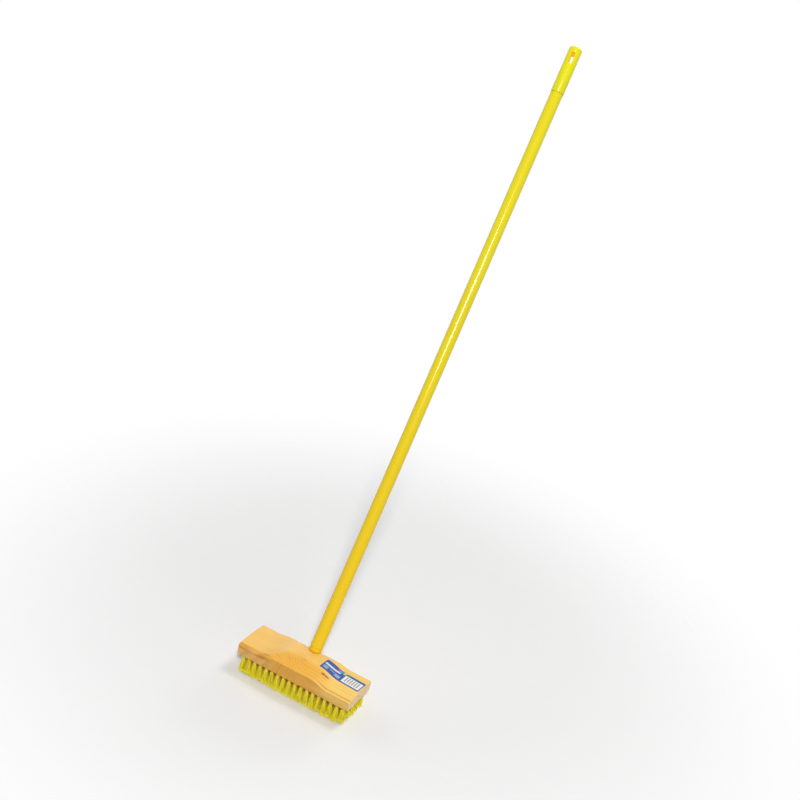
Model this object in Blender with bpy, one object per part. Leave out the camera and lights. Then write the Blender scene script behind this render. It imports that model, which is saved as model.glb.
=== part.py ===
"""Deck-scrub floor brush with a screw-in handle.

A crowned wooden stock with a raised middle carries rows of bristle tufts underneath. A threaded
end fitting joins a long tube handle to a slanting seat at the back of the stock, and a cap with a
hanging slot closes the tube's top. Metres, +Z up. The origin is the centre of the stock's flat
underside, X runs along the stock and the handle leans back towards +Y.
"""
import math
import random

import bmesh
import bpy
from mathutils import Matrix, Vector

# Wooden stock
STOCK_LENGTH = 0.230
STOCK_WIDTH = 0.079
WING_EDGE_HEIGHT = 0.0175      # height of the long edges near either end
SADDLE_RISE = 0.0078           # how far the raised middle stands above the wings
CROWN_RISE = 0.0040            # how far the top bulges across the width
SADDLE_FLAT = 0.076            # length of the raised middle's level stretch
SADDLE_RUN = 0.036             # length of each slope down to a wing
CORNER_RADIUS = 0.003          # of the four corners seen from above

# Slanting seat for the handle, square to its axis
HANDLE_LEAN = math.radians(29.0)
SEAT_EDGE_DROP = 0.0037        # back edge under the seat, below the raised middle's long edge
SEAT_INSET = 0.0095            # from that back edge, up the slant, to the handle's axis
SEAT_DEPTH = 0.0015            # how far the round seat is sunk into the slant

# Tufts: five rows spread over the stock's width, each a pattern of equal steps along it
TUFT_ROWS = 5
TUFT_SIDE_MARGIN = 0.0075      # from the stock's long edges to the outer rows' middles
TUFT_STEP = 0.0122             # along a row
TUFT_END_MARGIN = 0.0110
BRISTLE_LENGTH = 0.037         # from the underside to the trimmed tips
OUTER_STRANDS = 4              # strands round each tuft's middle one
TUFT_ROOT_RADIUS = 0.0027      # from a tuft's middle to its outer strands, at the stock
TUFT_TIP_RADIUS = 0.0045       # the same at the tips, where the tuft spreads
STRAND_RADIUS = 0.0012
STRAND_SIDES = 3
STRAND_SINK = 0.0010           # how far a strand runs into its backing
BACKING_DEPTH = 0.0030
BACKING_MARGIN = 0.0011        # backing left beside the outermost strands

# Handle tube
TUBE_RADIUS = 0.01175
TUBE_WALL = 0.0006
TUBE_LENGTH = 1.087

# Threaded end fitting
COLLAR_LENGTH = 0.0080
COLLAR_STRAIGHT = 0.0035       # stretch of the collar as wide as the tube
COLLAR_FOOT_RADIUS = 0.0100
PLUG_LENGTH = 0.045            # the fitting's plug inside the tube
PLUG_WALL = 0.0022
THREAD_RADIUS = 0.0073         # over the thread
THREAD_HEIGHT = 0.0010
THREAD_PITCH = 0.0050
THREAD_LENGTH = 0.0160         # of the core below the collar
THREAD_ROOT_WIDTH = 0.0030     # of the ridge, along the axis, where it leaves the core
THREAD_CREST_WIDTH = 0.0012
THREAD_TOP_ROOM = 0.0008       # plain core between the ridge and the collar
THREAD_LEAD_IN = 0.0015        # chamfer at the fitting's tip
BORE_END_ROOM = 0.0010         # left between the fitting's tip and the bore's bottom

# Hanging cap
CAP_RADIUS = 0.01235
CAP_LENGTH = 0.091
CAP_EDGE_RADIUS = 0.0030
CAP_CROWN = 0.0008             # rise of the rounded top over its edge
CAP_PLUG_LENGTH = 0.030
CAP_PLUG_CHAMFER = 0.0010
CAP_CORE_RADIUS = 0.0080       # the moulding's hollow
CAP_CORE_TOP_WALL = 0.0100     # solid stretch between the hollow and the slot
SLOT_WIDTH = 0.0072
SLOT_LENGTH = 0.0222
SLOT_TOP_INSET = 0.0123        # from the cap's top down to the slot
SLOT_CORNER_RADIUS = 0.0012
SLOT_TURN = math.radians(12.0)  # about the handle, from straight ahead towards +X

# Label, stuck over the slope between the raised middle and the right wing
LABEL_LENGTH = 0.0825
LABEL_WIDTH = 0.0280
LABEL_THICKNESS = 0.0003
LABEL_END_INSET = 0.0012       # from the stock's end
LABEL_OFFSET = 0.0086          # its middle, behind the stock's centre line
LABEL_TURN = math.radians(-2.8)

# Clearances
TOUCHING_GAP = 0.0003          # between solids that touch
RUNNING_GAP = 0.0003           # between a round plug or thread and its hole

# Facets
ROUND_SIDES = 32
CROWN_STEPS = 14
SLOPE_STEPS = 9
CORNER_STEPS = 4
ARC_STEPS = 5
THREAD_STEPS = 20              # per turn
LABEL_STEPS = (22, 5)

# Colours
WOOD = (0.83, 0.55, 0.22)
BRISTLE_YELLOW = (0.72, 0.62, 0.03)
TUBE_YELLOW = (0.86, 0.55, 0.01)
CAP_YELLOW = (0.84, 0.74, 0.01)
LABEL_BLUE = (0.04, 0.11, 0.42)

BACK_EDGE = STOCK_WIDTH / 2
SADDLE_EDGE_HEIGHT = WING_EDGE_HEIGHT + SADDLE_RISE
SEAT_EDGE_HEIGHT = SADDLE_EDGE_HEIGHT - SEAT_EDGE_DROP
HANDLE_WAY = Vector((0.0, math.sin(HANDLE_LEAN), math.cos(HANDLE_LEAN)))
SLANT_CENTRE = Vector((0.0,
                       BACK_EDGE - SEAT_INSET * math.cos(HANDLE_LEAN),
                       SEAT_EDGE_HEIGHT + SEAT_INSET * math.sin(HANDLE_LEAN)))
SEAT_CENTRE = SLANT_CENTRE - SEAT_DEPTH * HANDLE_WAY
SEAT_RADIUS = TUBE_RADIUS + TOUCHING_GAP
BORE_RADIUS = THREAD_RADIUS + RUNNING_GAP
PLUG_RADIUS = TUBE_RADIUS - TUBE_WALL - RUNNING_GAP
BACKING_WIDTH = 2 * (TUFT_ROOT_RADIUS + STRAND_RADIUS + BACKING_MARGIN)


def clear_scene():
    for thing in list(bpy.data.objects):
        bpy.data.objects.remove(thing, do_unlink=True)


def material(name, colour, roughness, metallic=0.0):
    made = bpy.data.materials.new(name)
    made.use_nodes = True
    shader = made.node_tree.nodes["Principled BSDF"]
    shader.inputs["Base Color"].default_value = (*colour, 1.0)
    shader.inputs["Roughness"].default_value = roughness
    shader.inputs["Metallic"].default_value = metallic
    return made


def add_object(name, mesh, parent=None, finish=None):
    thing = bpy.data.objects.new(name, mesh)
    bpy.context.collection.objects.link(thing)
    thing.parent = parent
    if finish:
        mesh.materials.append(finish)
    return thing


def add_solid(name, points, faces, parent=None, finish=None, smooth=False):
    """One closed body from points and faces, with its faces turned outwards."""
    mesh = bpy.data.meshes.new(name)
    mesh.from_pydata([tuple(p) for p in points], [], faces)
    work = bmesh.new()
    work.from_mesh(mesh)
    bmesh.ops.recalc_face_normals(work, faces=work.faces)
    work.to_mesh(mesh)
    work.free()
    if smooth:
        mesh.shade_smooth()
        mesh.set_sharp_from_angle(angle=math.radians(35))
    return add_object(name, mesh, parent, finish)


def turned(name, profile, parent=None, finish=None, sides=ROUND_SIDES):
    """Turns a profile of (radius, height) points about Z. It starts and ends on the axis."""
    rings = profile[1:-1]
    points = [Vector((0, 0, profile[0][1]))]
    for radius, height in rings:
        for side in range(sides):
            angle = 2 * math.pi * side / sides
            points.append(Vector((radius * math.cos(angle), radius * math.sin(angle), height)))
    points.append(Vector((0, 0, profile[-1][1])))
    first = 1
    last = 1 + (len(rings) - 1) * sides
    faces = []
    for side in range(sides):
        beside = (side + 1) % sides
        faces.append((0, first + side, first + beside))
        for ring in range(len(rings) - 1):
            low = 1 + ring * sides
            faces.append((low + side, low + sides + side, low + sides + beside, low + beside))
        faces.append((last + side, len(points) - 1, last + beside))
    return add_solid(name, points, faces, parent, finish, smooth=True)


def prism(name, outline, low, high, parent=None):
    """A straight prism on a flat outline of (x, y) points, between two heights."""
    count = len(outline)
    points = [(x, y, low) for x, y in outline] + [(x, y, high) for x, y in outline]
    faces = [tuple(range(count)), tuple(range(count, 2 * count))]
    for i in range(count):
        j = (i + 1) % count
        faces.append((i, j, count + j, count + i))
    return add_solid(name, points, faces, parent)


def rounded_rectangle(length, width, radius, steps=CORNER_STEPS):
    outline = []
    for corner, (sx, sy) in enumerate(((1, 1), (-1, 1), (-1, -1), (1, -1))):
        for step in range(steps + 1):
            angle = (corner + step / steps) * math.pi / 2
            outline.append((sx * (length / 2 - radius) + radius * math.cos(angle),
                            sy * (width / 2 - radius) + radius * math.sin(angle)))
    return outline


def cut(body, cutter, operation="DIFFERENCE"):
    """Cuts, joins or trims a body with a guide that isn't part of the brush."""
    cutter.hide_render = True
    cutter.display_type = "WIRE"
    step = body.modifiers.new(cutter.name, "BOOLEAN")
    step.operation = operation
    step.solver = "EXACT"
    step.object = cutter


def saddle(x):
    """How much of the saddle's rise the top has at x: 1 in the middle, 0 on the wings."""
    t = (abs(x) - SADDLE_FLAT / 2) / SADDLE_RUN
    t = min(max(t, 0.0), 1.0)
    return 1 - t * t * (3 - 2 * t)


def top_height(x, y):
    """Height of the stock's top before the seat is cut: the saddle plus a round crown."""
    across = y / (STOCK_WIDTH / 2)
    return WING_EDGE_HEIGHT + SADDLE_RISE * saddle(x) + CROWN_RISE * (1 - across * across)


def stock_stations():
    """Places along the stock where its section changes, close together on the two slopes."""
    half = STOCK_LENGTH / 2
    marks = [SADDLE_FLAT / 2 + SADDLE_RUN * i / SLOPE_STEPS for i in range(SLOPE_STEPS + 1)]
    right = [x for x in marks if x < half - TOUCHING_GAP] + [half]
    return [-x for x in reversed(right)] + right


def make_stock(handle_frame, finish):
    """The wooden stock: a crowned and raised top on a flat underside, then its cuts."""
    stations = stock_stations()
    rows = [STOCK_WIDTH * (i / CROWN_STEPS - 0.5) for i in range(CROWN_STEPS + 1)]
    across = len(rows)
    points = [(x, y, top_height(x, y)) for x in stations for y in rows]
    floor_start = len(points)
    points += [(x, y, 0.0) for x in (stations[0], stations[-1]) for y in (rows[0], rows[-1])]
    faces = []
    for i in range(len(stations) - 1):
        for j in range(across - 1):
            low = i * across + j
            faces.append((low, low + across, low + across + 1, low + 1))
    last = (len(stations) - 1) * across
    front = [i * across for i in range(len(stations))]
    back = [i * across + across - 1 for i in range(len(stations))]
    left_front, left_back, right_front, right_back = range(floor_start, floor_start + 4)
    faces.append((left_front, left_back, right_back, right_front))
    faces.append((*front, right_front, left_front))
    faces.append((*back, right_back, left_back))
    faces.append((*range(across), left_back, left_front))
    faces.append((*range(last, last + across), right_back, right_front))
    stock = add_solid("stock", points, faces, finish=finish)

    well_above = 2 * (SADDLE_EDGE_HEIGHT + CROWN_RISE)
    outline = rounded_rectangle(STOCK_LENGTH, STOCK_WIDTH, CORNER_RADIUS)
    cut(stock, prism("stock_outline", outline, -well_above, well_above), "INTERSECT")
    reach = STOCK_LENGTH + STOCK_WIDTH
    slant = rounded_rectangle(reach, reach, CORNER_RADIUS, 1)
    cut(stock, prism("slant_cutter", slant, SEAT_DEPTH, SEAT_DEPTH + well_above, handle_frame))
    depth = THREAD_LENGTH + BORE_END_ROOM
    hole = [(0, -depth), (BORE_RADIUS, -depth), (BORE_RADIUS, 0), (SEAT_RADIUS, 0),
            (SEAT_RADIUS, well_above), (0, well_above)]
    cut(stock, turned("seat_cutter", hole, handle_frame))
    for number, y in enumerate(tuft_rows(), start=1):
        length, width = backing_size()
        x0, x1 = -length / 2 - TOUCHING_GAP, length / 2 + TOUCHING_GAP
        y0, y1 = y - width / 2 - TOUCHING_GAP, y + width / 2 + TOUCHING_GAP
        groove = [(x0, y0), (x1, y0), (x1, y1), (x0, y1)]
        ceiling = BACKING_DEPTH + TOUCHING_GAP
        cut(stock, prism(f"groove_cutter_{number}", groove, -ceiling, ceiling))
    return stock


def tuft_rows():
    """Middles of the rows, spread evenly over the width inside the margins."""
    span = STOCK_WIDTH - 2 * TUFT_SIDE_MARGIN
    return [span * (i / (TUFT_ROWS - 1) - 0.5) for i in range(TUFT_ROWS)]


def tuft_columns():
    """Places along a row at equal steps about 0, as many as fit inside the margins."""
    count = int((STOCK_LENGTH - 2 * TUFT_END_MARGIN) / TUFT_STEP) + 1
    return [(i - (count - 1) / 2) * TUFT_STEP for i in range(count)]


def backing_size():
    columns = tuft_columns()
    return columns[-1] - columns[0] + BACKING_WIDTH, BACKING_WIDTH


def strand(points, faces, root, tip, angle):
    """One bristle strand: a leaning prism from inside the backing to the flat-cut tips."""
    start = len(points)
    for centre in (root, tip):
        for side in range(STRAND_SIDES):
            turn = angle + 2 * math.pi * side / STRAND_SIDES
            points.append((centre.x + STRAND_RADIUS * math.cos(turn),
                           centre.y + STRAND_RADIUS * math.sin(turn), centre.z))
    for side in range(STRAND_SIDES):
        beside = (side + 1) % STRAND_SIDES
        faces.append((start + side, start + beside,
                      start + STRAND_SIDES + beside, start + STRAND_SIDES + side))
    faces.append(tuple(start + STRAND_SIDES + side for side in range(STRAND_SIDES)))
    faces.append(tuple(start + side for side in reversed(range(STRAND_SIDES))))


def tuft(points, faces, x, y, chance):
    """A middle strand and a ring of outer ones that spread towards the tips."""
    turn = chance.uniform(0, 2 * math.pi)
    spread = min(TUFT_TIP_RADIUS, (TUFT_STEP - TOUCHING_GAP) / 2 - STRAND_RADIUS)
    spokes = [None] + [turn + 2 * math.pi * i / OUTER_STRANDS for i in range(OUTER_STRANDS)]
    for spoke in spokes:
        way = Vector((0, 0, 0)) if spoke is None else Vector((math.cos(spoke), math.sin(spoke), 0))
        centre = Vector((x, y, 0))
        root = centre + way * TUFT_ROOT_RADIUS + Vector((0, 0, STRAND_SINK))
        tip = centre + way * spread - Vector((0, 0, BRISTLE_LENGTH))
        strand(points, faces, root, tip, chance.uniform(0, 2 * math.pi))


def make_bristle_row(number, y, finish):
    """One row of tufts, fused to the slice of stock that holds their roots."""
    length, width = backing_size()
    outline = [(-length / 2, y - width / 2), (length / 2, y - width / 2),
               (length / 2, y + width / 2), (-length / 2, y + width / 2)]
    row = prism(f"bristle_row_{number}", outline, 0.0, BACKING_DEPTH)
    row.data.materials.append(finish)
    chance = random.Random(number)
    points, faces = [], []
    for x in tuft_columns():
        tuft(points, faces, x, y, chance)
    cut(row, add_solid(f"strands_{number}", points, faces), "UNION")
    return row


def make_label(finish):
    """A thin sticker that follows the stock's top, made from a grid bent to its height."""
    along, across = LABEL_STEPS
    reach = abs(LABEL_LENGTH / 2 * math.cos(LABEL_TURN)) + abs(LABEL_WIDTH / 2 * math.sin(LABEL_TURN))
    middle_x = STOCK_LENGTH / 2 - LABEL_END_INSET - reach
    points = []
    for lift in (TOUCHING_GAP, TOUCHING_GAP + LABEL_THICKNESS):
        for i in range(along + 1):
            for j in range(across + 1):
                u = LABEL_LENGTH * (i / along - 0.5)
                v = LABEL_WIDTH * (j / across - 0.5)
                x = middle_x + u * math.cos(LABEL_TURN) - v * math.sin(LABEL_TURN)
                y = LABEL_OFFSET + u * math.sin(LABEL_TURN) + v * math.cos(LABEL_TURN)
                points.append((x, y, top_height(x, y) + lift))
    layer = (along + 1) * (across + 1)
    faces = []
    for i in range(along):
        for j in range(across):
            low = i * (across + 1) + j
            quad = (low, low + across + 1, low + across + 2, low + 1)
            faces.append(tuple(reversed(quad)))
            faces.append(tuple(layer + corner for corner in quad))
    rim = [i * (across + 1) for i in range(along + 1)]
    rim += [along * (across + 1) + j for j in range(1, across + 1)]
    rim += [i * (across + 1) + across for i in range(along - 1, -1, -1)]
    rim += [j for j in range(across - 1, 0, -1)]
    for here, there in zip(rim, rim[1:] + rim[:1]):
        faces.append((here, there, layer + there, layer + here))
    return add_solid("label", points, faces, finish=finish)


def thread_ridge(parent):
    """The thread: a ridge wound up the core, faded into it over a quarter turn at both ends."""
    inside = THREAD_RADIUS - 1.5 * THREAD_HEIGHT
    low = -THREAD_LENGTH + THREAD_LEAD_IN + THREAD_ROOT_WIDTH / 2
    high = -THREAD_TOP_ROOM - THREAD_ROOT_WIDTH / 2
    turns = (high - low) / THREAD_PITCH
    count = round(turns * THREAD_STEPS)
    points, faces = [], []
    for i in range(count + 1):
        angle = 2 * math.pi * turns * i / count
        fade = min(1.0, 4 * i / THREAD_STEPS, 4 * (count - i) / THREAD_STEPS)
        crest = THREAD_RADIUS - 1.25 * THREAD_HEIGHT * (1 - fade)
        middle = low + (high - low) * i / count
        section = ((inside, -THREAD_ROOT_WIDTH / 2), (crest, -THREAD_CREST_WIDTH / 2),
                   (crest, THREAD_CREST_WIDTH / 2), (inside, THREAD_ROOT_WIDTH / 2))
        for radius, rise in section:
            points.append((radius * math.cos(angle), radius * math.sin(angle), middle + rise))
    for i in range(count):
        for j in range(4):
            k = (j + 1) % 4
            faces.append((4 * i + j, 4 * i + k, 4 * i + 4 + k, 4 * i + 4 + j))
    faces.append((0, 1, 2, 3))
    faces.append(tuple(4 * count + j for j in range(4)))
    return add_solid("thread_ridge", points, faces, parent)


def make_threaded_end(parent, finish):
    """End fitting: threaded core, tapered collar and a hollow plug inside the tube."""
    core = THREAD_RADIUS - THREAD_HEIGHT
    foot = TOUCHING_GAP
    shoulder = foot + COLLAR_LENGTH
    plug_top = shoulder + PLUG_LENGTH
    hollow = PLUG_RADIUS - PLUG_WALL
    taper = COLLAR_LENGTH - COLLAR_STRAIGHT
    profile = [(0, -THREAD_LENGTH), (core - THREAD_LEAD_IN, -THREAD_LENGTH),
               (core, -THREAD_LENGTH + THREAD_LEAD_IN), (core, foot)]
    for step in range(ARC_STEPS + 1):
        angle = math.pi / 2 * step / ARC_STEPS
        radius = COLLAR_FOOT_RADIUS + (TUBE_RADIUS - COLLAR_FOOT_RADIUS) * math.sin(angle)
        profile.append((radius, foot + taper * (1 - math.cos(angle))))
    profile += [(TUBE_RADIUS, shoulder), (PLUG_RADIUS, shoulder), (PLUG_RADIUS, plug_top - PLUG_WALL),
                (PLUG_RADIUS - PLUG_WALL / 2, plug_top), (hollow, plug_top),
                (hollow, shoulder), (0, shoulder)]
    fitting = turned("threaded_end", profile, parent, finish)
    cut(fitting, thread_ridge(parent), "UNION")
    return fitting


def make_tube(parent, finish):
    """The handle's thin tube, from the collar to the cap."""
    low = TOUCHING_GAP + COLLAR_LENGTH + TOUCHING_GAP
    high = low + TUBE_LENGTH
    inner = TUBE_RADIUS - TUBE_WALL
    tube = turned("handle_tube", [(0, low), (TUBE_RADIUS, low), (TUBE_RADIUS, high), (0, high)],
                  parent, finish)
    past = TUBE_RADIUS
    core = [(0, low - past), (inner, low - past), (inner, high + past), (0, high + past)]
    cut(tube, turned("tube_core", core, parent))
    return tube


def make_cap(parent, finish):
    """Hanging cap: a round-topped plug with a slot through it, turned a little to one side."""
    seat = 3 * TOUCHING_GAP + COLLAR_LENGTH + TUBE_LENGTH
    top = seat + CAP_LENGTH
    slot_top = top - SLOT_TOP_INSET
    slot_low = slot_top - SLOT_LENGTH
    core_top = slot_low - CAP_CORE_TOP_WALL
    plug_low = seat - CAP_PLUG_LENGTH
    profile = [(0, core_top), (CAP_CORE_RADIUS, core_top), (CAP_CORE_RADIUS, plug_low),
               (PLUG_RADIUS - CAP_PLUG_CHAMFER, plug_low), (PLUG_RADIUS, plug_low + CAP_PLUG_CHAMFER),
               (PLUG_RADIUS, seat), (CAP_RADIUS, seat)]
    edge_height = top - CAP_CROWN
    for step in range(ARC_STEPS + 1):
        angle = math.pi / 2 * step / ARC_STEPS
        profile.append((CAP_RADIUS - CAP_EDGE_RADIUS * (1 - math.cos(angle)),
                        edge_height - CAP_EDGE_RADIUS * (1 - math.sin(angle))))
    profile.append((0, top))
    cap = turned("hanging_cap", profile, parent, finish)
    slot = rounded_rectangle(SLOT_WIDTH, SLOT_LENGTH, SLOT_CORNER_RADIUS)
    cutter = prism("slot_cutter", slot, -2 * CAP_RADIUS, 2 * CAP_RADIUS, parent)
    stand_up = Matrix.Rotation(math.pi / 2, 4, "X")
    turn = Matrix.Rotation(SLOT_TURN, 4, "Z")
    lift = Matrix.Translation((0, 0, (slot_top + slot_low) / 2))
    cutter.matrix_local = lift @ turn @ stand_up
    cut(cap, cutter)
    return cap


def make_brush():
    clear_scene()
    wood = material("varnished_wood", WOOD, 0.35)
    bristle = material("bristle_plastic", BRISTLE_YELLOW, 0.5)
    painted = material("tube_paint", TUBE_YELLOW, 0.25, 0.1)
    moulded = material("moulded_plastic", CAP_YELLOW, 0.35)
    printed = material("label_film", LABEL_BLUE, 0.3)

    handle_frame = bpy.data.objects.new("handle_axis", None)
    bpy.context.collection.objects.link(handle_frame)
    handle_frame.location = SEAT_CENTRE
    handle_frame.rotation_euler = (-HANDLE_LEAN, 0, 0)

    make_stock(handle_frame, wood)
    for number, y in enumerate(tuft_rows(), start=1):
        make_bristle_row(number, y, bristle)
    make_label(printed)
    make_threaded_end(handle_frame, moulded)
    make_tube(handle_frame, painted)
    make_cap(handle_frame, moulded)


make_brush()
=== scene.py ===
# %% [markdown]
# # A deck-scrub floor brush
#
# The brush has a crowned wooden stock, five rows of yellow bristle tufts, a sticker, and a long
# tube handle that screws into the stock and ends in a cap with a hanging slot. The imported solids
# already have every piece in its right place. This lesson dresses them: it works out finer
# surfaces with numpy, gives each one a material made of nodes, and lights the result.

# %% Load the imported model
import math

import bmesh
import bpy
import numpy as np
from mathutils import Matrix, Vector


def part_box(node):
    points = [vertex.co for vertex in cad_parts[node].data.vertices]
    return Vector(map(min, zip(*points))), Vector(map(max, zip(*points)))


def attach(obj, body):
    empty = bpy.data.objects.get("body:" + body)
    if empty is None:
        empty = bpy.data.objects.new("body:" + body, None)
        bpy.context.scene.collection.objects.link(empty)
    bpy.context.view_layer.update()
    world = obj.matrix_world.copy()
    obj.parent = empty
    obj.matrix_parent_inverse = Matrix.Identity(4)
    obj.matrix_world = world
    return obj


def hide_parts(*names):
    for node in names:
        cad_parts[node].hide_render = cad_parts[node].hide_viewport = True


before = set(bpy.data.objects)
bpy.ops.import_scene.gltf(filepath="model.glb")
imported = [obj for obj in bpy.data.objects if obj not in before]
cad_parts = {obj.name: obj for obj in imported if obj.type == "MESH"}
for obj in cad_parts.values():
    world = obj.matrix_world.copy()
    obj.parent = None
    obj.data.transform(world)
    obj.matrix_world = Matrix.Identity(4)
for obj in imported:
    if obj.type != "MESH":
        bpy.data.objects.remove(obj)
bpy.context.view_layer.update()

print("nodes:", sorted(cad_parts))

# %% [markdown]
# ## The sizes that the surfaces share
#
# Lengths are in metres. They are the sizes the solids were made with, so a new surface lands
# where its solid is. The stock's flat underside is at height 0, X runs along the stock, and the
# handle leans back towards +Y.

# %% Shared sizes
LENGTH, WIDTH = 0.230, 0.079       # the stock, seen from above
CORNER = 0.0028                    # radius of its corners, seen from above
WING_EDGE = 0.0175                 # height of its long edges
CROWN_RISE = 0.0040                # how much higher the middle of its width is
SADDLE_RISE = 0.0078               # how much higher the middle of its length is
SLANT_EDGE = 0.0216                # height of the handle's slant at the back edge
LEAN = math.radians(29.0)          # of the handle, towards the back
SEAT = np.array([0.0, 0.030464, 0.024894])         # middle of the seat's floor
ACROSS = np.array([1.0, 0.0, 0.0])                 # the handle's own three directions
BEHIND = np.array([0.0, math.cos(LEAN), -math.sin(LEAN)])
UP_HANDLE = np.array([0.0, math.sin(LEAN), math.cos(LEAN)])
TUBE_RADIUS, TUBE_WALL = 0.01175, 0.0006
TUBE_LOW, TUBE_HIGH = 0.0086, 1.0956               # its ends, along the handle from the seat
BRISTLE_LENGTH = 0.037
for node in ("stock", "handle_tube", "hanging_cap"):
    low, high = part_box(node)
    print(node, [round(1000 * v, 1) for v in low], [round(1000 * v, 1) for v in high], "mm")

# %% [markdown]
# ## Camera
#
# The camera was found by matching sixty outline points of the brush. It stands in front, to the
# right and above, and is rolled a little, which makes the stock run downhill in the picture.

# %% Camera
lens = bpy.data.cameras.new("camera")
lens.sensor_width = 36.0
lens.lens = 52.02
lens.clip_end = 50.0
camera = bpy.data.objects.new("camera", lens)
camera.location = (0.70574, -1.49407, 1.28704)
camera.rotation_euler = (1.141933, -0.199597, 0.493654)
bpy.context.scene.collection.objects.link(camera)
bpy.context.scene.camera = camera
bpy.context.scene.view_settings.view_transform = "Standard"
print("camera at", tuple(round(v, 3) for v in camera.location))

# %% [markdown]
# ## From arrays to meshes
#
# Every new surface is worked out as a whole array of points first. One helper turns points and
# faces into a mesh. Faces come as arrays of corner numbers, so no loop runs over the vertices.

# %% Mesh helpers
def mesh_from(name, points, *faces):
    """A mesh from an (n, 3) array of points and arrays of faces with 3, 4 or more corners."""
    mesh = bpy.data.meshes.new(name)
    mesh.vertices.add(len(points))
    mesh.vertices.foreach_set("co", np.asarray(points, np.float32).ravel())
    corners = np.concatenate([np.asarray(f).ravel() for f in faces])
    sizes = np.concatenate([np.full(len(f), np.shape(f)[1]) for f in faces])
    mesh.loops.add(len(corners))
    mesh.loops.foreach_set("vertex_index", corners.astype(np.int32))
    mesh.polygons.add(len(sizes))
    starts = np.concatenate([[0], np.cumsum(sizes)[:-1]])
    mesh.polygons.foreach_set("loop_start", starts.astype(np.int32))
    mesh.update(calc_edges=True)
    mesh.validate()
    return mesh


def closed_mesh(name, points, *faces):
    """A mesh whose faces close it, so that they can all be turned outwards."""
    mesh = mesh_from(name, points, *faces)
    work = bmesh.new()
    work.from_mesh(mesh)
    bmesh.ops.recalc_face_normals(work, faces=work.faces)
    work.to_mesh(mesh)
    work.free()
    return mesh


def shade(mesh, angle=35):
    """Smooth shading, with an edge kept sharp where the faces meet at more than the angle."""
    mesh.shade_smooth()
    mesh.set_sharp_from_angle(angle=math.radians(angle))


def add_piece(name, mesh):
    """An object for the mesh, at the origin, unturned and unscaled."""
    piece = bpy.data.objects.new(name, mesh)
    bpy.context.scene.collection.objects.link(piece)
    return piece


def bake(piece):
    """Applies the piece's modifiers, so that its mesh is final."""
    bpy.context.view_layer.update()
    done = bpy.data.meshes.new_from_object(piece.evaluated_get(
        bpy.context.evaluated_depsgraph_get()))
    piece.modifiers.clear()
    piece.data = done


def cut_with(piece, cutter_mesh):
    """Cuts a closed cutter mesh out of the piece."""
    cutter = add_piece("cutter", cutter_mesh)
    step = piece.modifiers.new("cut", "BOOLEAN")
    step.operation, step.solver, step.object = "DIFFERENCE", "EXACT", cutter
    bake(piece)
    bpy.data.objects.remove(cutter, do_unlink=True)


def grid_faces(rows, columns, wrap=False):
    """Corner numbers of the quads of a grid of rows times columns points."""
    i, j = np.meshgrid(np.arange(rows - 1), np.arange(columns if wrap else columns - 1),
                       indexing="ij")
    after = (j + 1) % columns
    quads = [i * columns + j, (i + 1) * columns + j,
             (i + 1) * columns + after, i * columns + after]
    return np.stack(quads, -1).reshape(-1, 4)


# %% [markdown]
# ## The stock's shape
#
# The top is the sum of a few simple hills. Across the width it is an arc, low at the long edges.
# Along the length it is a saddle: a raised middle that comes down to a wing on either side. On
# the left wing the front edge was rounded over by the cutter, and that roundover fades out where
# the middle rises. At the back, the top is cut by a slant that is square to the handle.

# %% The stock's top as a height over the plan
def smooth_step(value, low, high):
    """0 below low, 1 above high, and t*t*(3 - 2t) between them."""
    t = np.clip((value - low) / (high - low), 0, 1)
    return t * t * (3 - 2 * t)


RIGHT_SLOPE, LEFT_SLOPE = (0.0335, 0.0715), (0.0345, 0.083)     # distances from the middle


def saddle(x):
    """1 on the raised middle, 0 on the wings, a smooth step down either slope between them."""
    return np.where(x > 0, 1 - smooth_step(x, *RIGHT_SLOPE), 1 - smooth_step(-x, *LEFT_SLOPE))


def right_wing(y):
    """An arc: the edge height plus the crown times 1 - (2y / width) squared."""
    return WING_EDGE + CROWN_RISE * (1 - (2 * y / WIDTH) ** 2)


LEFT_BASE, LEFT_RISE = 0.0192, 0.0024                # the left wing's arc: heights,
LEFT_SUMMIT, LEFT_REACH = -0.012, 0.045              # and places across the width
ROUNDOVER_WIDTH, ROUNDOVER_DROP = 0.0068, 0.0036


def left_wing(y):
    """A flatter arc with its summit towards the front, less a quadratic roundover in front."""
    arched = LEFT_BASE + LEFT_RISE * (1 - ((y - LEFT_SUMMIT) / LEFT_REACH) ** 2)
    over = np.clip(1 - (y + WIDTH / 2) / ROUNDOVER_WIDTH, 0, 1)
    return arched - ROUNDOVER_DROP * over ** 2


def slant(y):
    """The plane of the handle's seat, which falls towards the back edge."""
    return SLANT_EDGE + math.tan(LEAN) * (WIDTH / 2 - y)


SLANT_BLEND = 0.0006


def top(x, y):
    """Height of the stock's top: wings, plus the saddle, kept under the slant.

    The lower of the two heights is taken. Where they are within the blend of each other, one
    passes into the other by a share, less blend * share * (1 - share), which softens the edge.
    """
    left = (1 - saddle(x)) * (x < 0)
    hill = right_wing(y) + left * (left_wing(y) - right_wing(y)) + SADDLE_RISE * saddle(x)
    plane = slant(y)
    share = np.clip(0.5 + 0.5 * (plane - hill) / SLANT_BLEND, 0, 1)
    return plane + (hill - plane) * share - SLANT_BLEND * share * (1 - share)


print("top in mm: middle %.1f, left wing %.1f, right wing %.1f" % tuple(
    1000 * top(np.array([0, -0.1, 0.1]), np.zeros(3))))

# %% [markdown]
# ## The stock's surface
#
# The surface is a loop of points round the section, carried along the length. Near either end
# the loop gets narrower, which rounds the four corners seen from above. In the last 0.7 mm its
# top and underside draw together as well, which breaks the sharp edge of the end face.

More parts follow.
